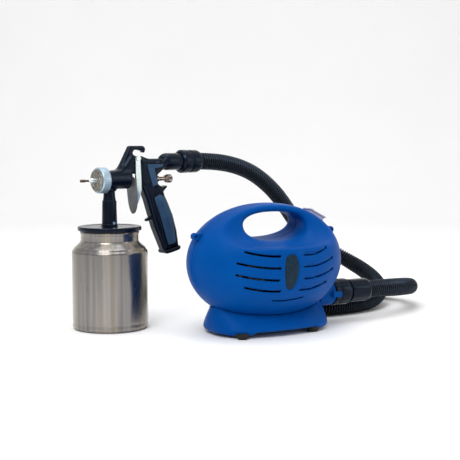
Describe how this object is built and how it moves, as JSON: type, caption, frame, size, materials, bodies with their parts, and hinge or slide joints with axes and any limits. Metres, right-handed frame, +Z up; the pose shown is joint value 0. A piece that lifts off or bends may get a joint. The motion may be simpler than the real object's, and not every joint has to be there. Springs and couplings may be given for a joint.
{
  "type": "hvlp spray gun",
  "caption": "Suction-cup HVLP paint spray gun with aluminium cup, ribbed air hose and blue egg-shaped turbine blower with carrying handle.",
  "frame": {"origin": "centre of the paint cup's base, which stands on the same surface as the blower's feet", "axes": "+Z up, out of the cup; -X the way the gun sprays, +X towards the hose end of the gun and the long way of the whole set; the blower's long axis is turned 10 degrees from +X"},
  "size_m": [0.531, 0.3194, 0.2405],
  "materials": {
    "black_enamel": "glossy black enamel over die-cast metal",
    "grip_plastic": "finely textured dark blue-grey plastic",
    "black_plastic": "satin black moulded plastic",
    "bright_steel": "bright rolled and turned steel",
    "turned_aluminium": "turned aluminium",
    "ring_aluminium": "satin anodised aluminium",
    "nozzle_brass": "turned brass, darkened tip",
    "knob_chrome": "knurled nickel plate",
    "rubber": "matt black rubber",
    "cup_aluminium": "spun and polished aluminium",
    "hose_plastic": "ribbed flexible black plastic",
    "blue_plastic": "satin blue moulded plastic",
    "grey_plastic": "dark grey-green grained plastic",
    "switch_plastic": "pale grey plastic",
    "rocker_plastic": "white plastic",
    "motor_iron": "laminated iron",
    "copper": "copper segments",
    "carbon": "pressed carbon",
    "filter_foam": "open foam"
  },
  "bodies": {
    "root": {"gun_body": "black_enamel", "grip_inlays": "grip_plastic", "handle_end_cap": "black_plastic", "trigger_pivot_screw": "bright_steel", "pivot_circlip": "bright_steel", "fluid_nozzle": "nozzle_brass", "needle_packing_nut": "nozzle_brass", "needle_spring": "bright_steel", "air_inlet_tube": "black_plastic", "neck_tube": "black_enamel", "neck_screw": "bright_steel", "cup_lid": "black_enamel", "pickup_tube": "bright_steel", "gun_hose_cuff": "black_plastic", "hose_tube": "hose_plastic", "blower_hose_cuff": "black_plastic", "port_connector": "black_plastic", "outlet_stub": "blue_plastic", "shell_near": "blue_plastic", "shell_far": "blue_plastic", "handle_shell": "blue_plastic", "base_skirt": "blue_plastic", "rubber_feet": "rubber", "side_badges": "grey_plastic", "shell_screws": "bright_steel", "strap_lugs": "blue_plastic", "switch_bezel": "switch_plastic", "stator_core": "motor_iron", "carbon_brushes": "carbon", "front_bearing": "bright_steel", "rear_bearing": "bright_steel", "turbine_housing": "turned_aluminium", "motor_end_bell": "turned_aluminium", "motor_mount_rings": "rubber", "air_duct": "black_plastic", "air_filter": "filter_foam", "mains_gland": "rubber"},
    "trigger": {"trigger": "bright_steel"},
    "needle": {"needle": "bright_steel"},
    "knob": {"fluid_knob": "knob_chrome"},
    "cap": {"air_cap": "turned_aluminium"},
    "ring": {"air_cap_ring": "ring_aluminium"},
    "cup_thread": {"cup_gasket": "rubber"},
    "cup": {"cup": "cup_aluminium"},
    "gun_collar": {"gun_hose_collar": "black_plastic"},
    "blower_collar": {"blower_hose_collar": "black_plastic"},
    "rotor": {"rotor_shaft": "bright_steel", "impeller": "turned_aluminium", "rotor_core": "motor_iron", "commutator": "copper"},
    "rocker": {"switch_rocker": "rocker_plastic"}
  },
  "joints": [
    {"name": "trigger_pull", "type": "hinge", "parent": "root", "child": "trigger", "pos_m": [0.039, 0, 0.224], "axis": [0, -1, 0], "range_deg": [0, 14], "stiffness_Nm_per_rad": 0.4, "springref_deg": -8.59},
    {"name": "needle_slide", "type": "slide", "parent": "root", "child": "needle", "axis": [1, 0, 0], "range_m": [0, 0.0085], "deforming": ["needle_spring"]},
    {"name": "knob_turn", "type": "hinge", "parent": "root", "child": "knob", "pos_m": [0.09, 0, 0.1955], "axis": [1, 0, 0], "range_deg": [0, 720]},
    {"name": "air_cap_turn", "type": "hinge", "parent": "root", "child": "cap", "pos_m": [-0.018, 0, 0.1955], "axis": [1, 0, 0], "range_deg": [0, 90]},
    {"name": "ring_turn", "type": "hinge", "parent": "root", "child": "ring", "pos_m": [-0.01, 0, 0.1955], "axis": [1, 0, 0], "range_deg": [0, 720]},
    {"name": "cup_unscrew", "type": "hinge", "parent": "root", "child": "cup_thread", "pos_m": [0, 0, 0.129], "axis": [0, 0, 1], "range_deg": [0, 720]},
    {"name": "cup_lower", "type": "slide", "parent": "cup_thread", "child": "cup", "axis": [0, 0, -1], "range_m": [0, 0.0081]},
    {"name": "gun_collar_turn", "type": "hinge", "parent": "root", "child": "gun_collar", "pos_m": [0.12, 0, 0.2187], "axis": [1, 0, 0], "range_deg": [0, 45]},
    {"name": "blower_collar_turn", "type": "hinge", "parent": "root", "child": "blower_collar", "pos_m": [0.29472, -0.16905, 0.041], "axis": [0.9848, -0.1736, 0], "range_deg": [0, 45]},
    {"name": "rotor_spin", "type": "hinge", "parent": "root", "child": "rotor", "pos_m": [0.147, -0.143, 0.075], "axis": [0.9848, -0.1736, 0], "continuous": true},
    {"name": "rocker_tilt", "type": "hinge", "parent": "root", "child": "rocker", "pos_m": [0.22381, -0.15654, 0.15], "axis": [-0.1736, -0.9848, 0], "range_deg": [0, 12]}
  ],
  "couplings": [
    {"joint": "needle_slide", "follows": "trigger_pull", "m_per_rad": 0.033},
    {"joint": "cup_lower", "follows": "cup_unscrew", "m_per_rad": 0.00063662}
  ]
}
